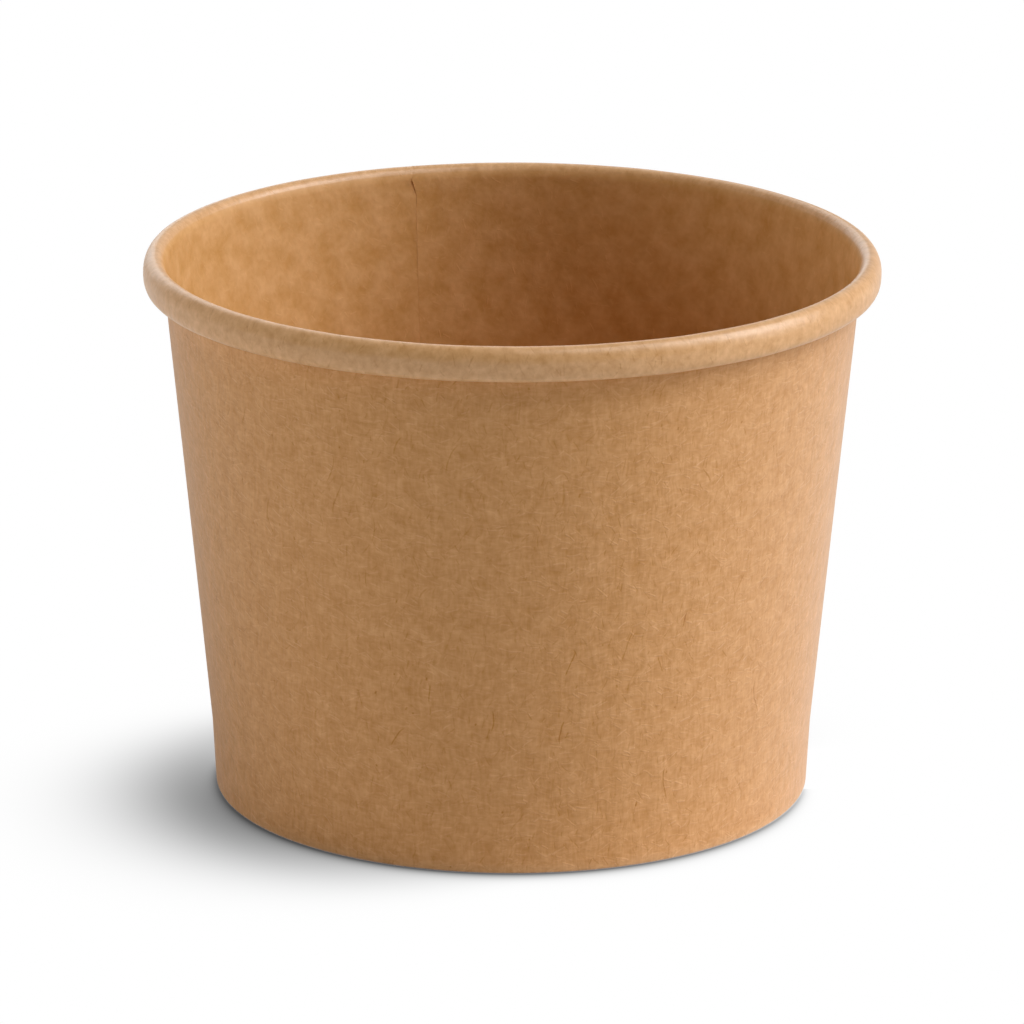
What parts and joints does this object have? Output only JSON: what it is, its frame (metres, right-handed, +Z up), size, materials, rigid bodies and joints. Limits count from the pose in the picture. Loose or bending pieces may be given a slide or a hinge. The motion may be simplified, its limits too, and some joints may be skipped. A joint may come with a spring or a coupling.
{
  "type": "paper soup cup",
  "caption": "Tapered kraft paper soup cup with a rolled rim that takes a lid, a lapped and sealed side seam, and a recessed base held in the folded foot.",
  "frame": {"origin": "centre of the foot, on the table, on the cup's axis", "axes": "+Z up the cup's axis and out of its mouth; the inner edge of the side seam stands 107 degrees round from +X, at the back and a little to the left"},
  "size_m": [0.098, 0.098, 0.0735],
  "materials": {
    "kraft_board": "uncoated kraft outside, satin sealed inside",
    "base_board": "uncoated kraft below, satin sealed above"
  },
  "bodies": {
    "root": {"sidewall": "kraft_board", "base_disc": "base_board"}
  },
  "joints": []
}
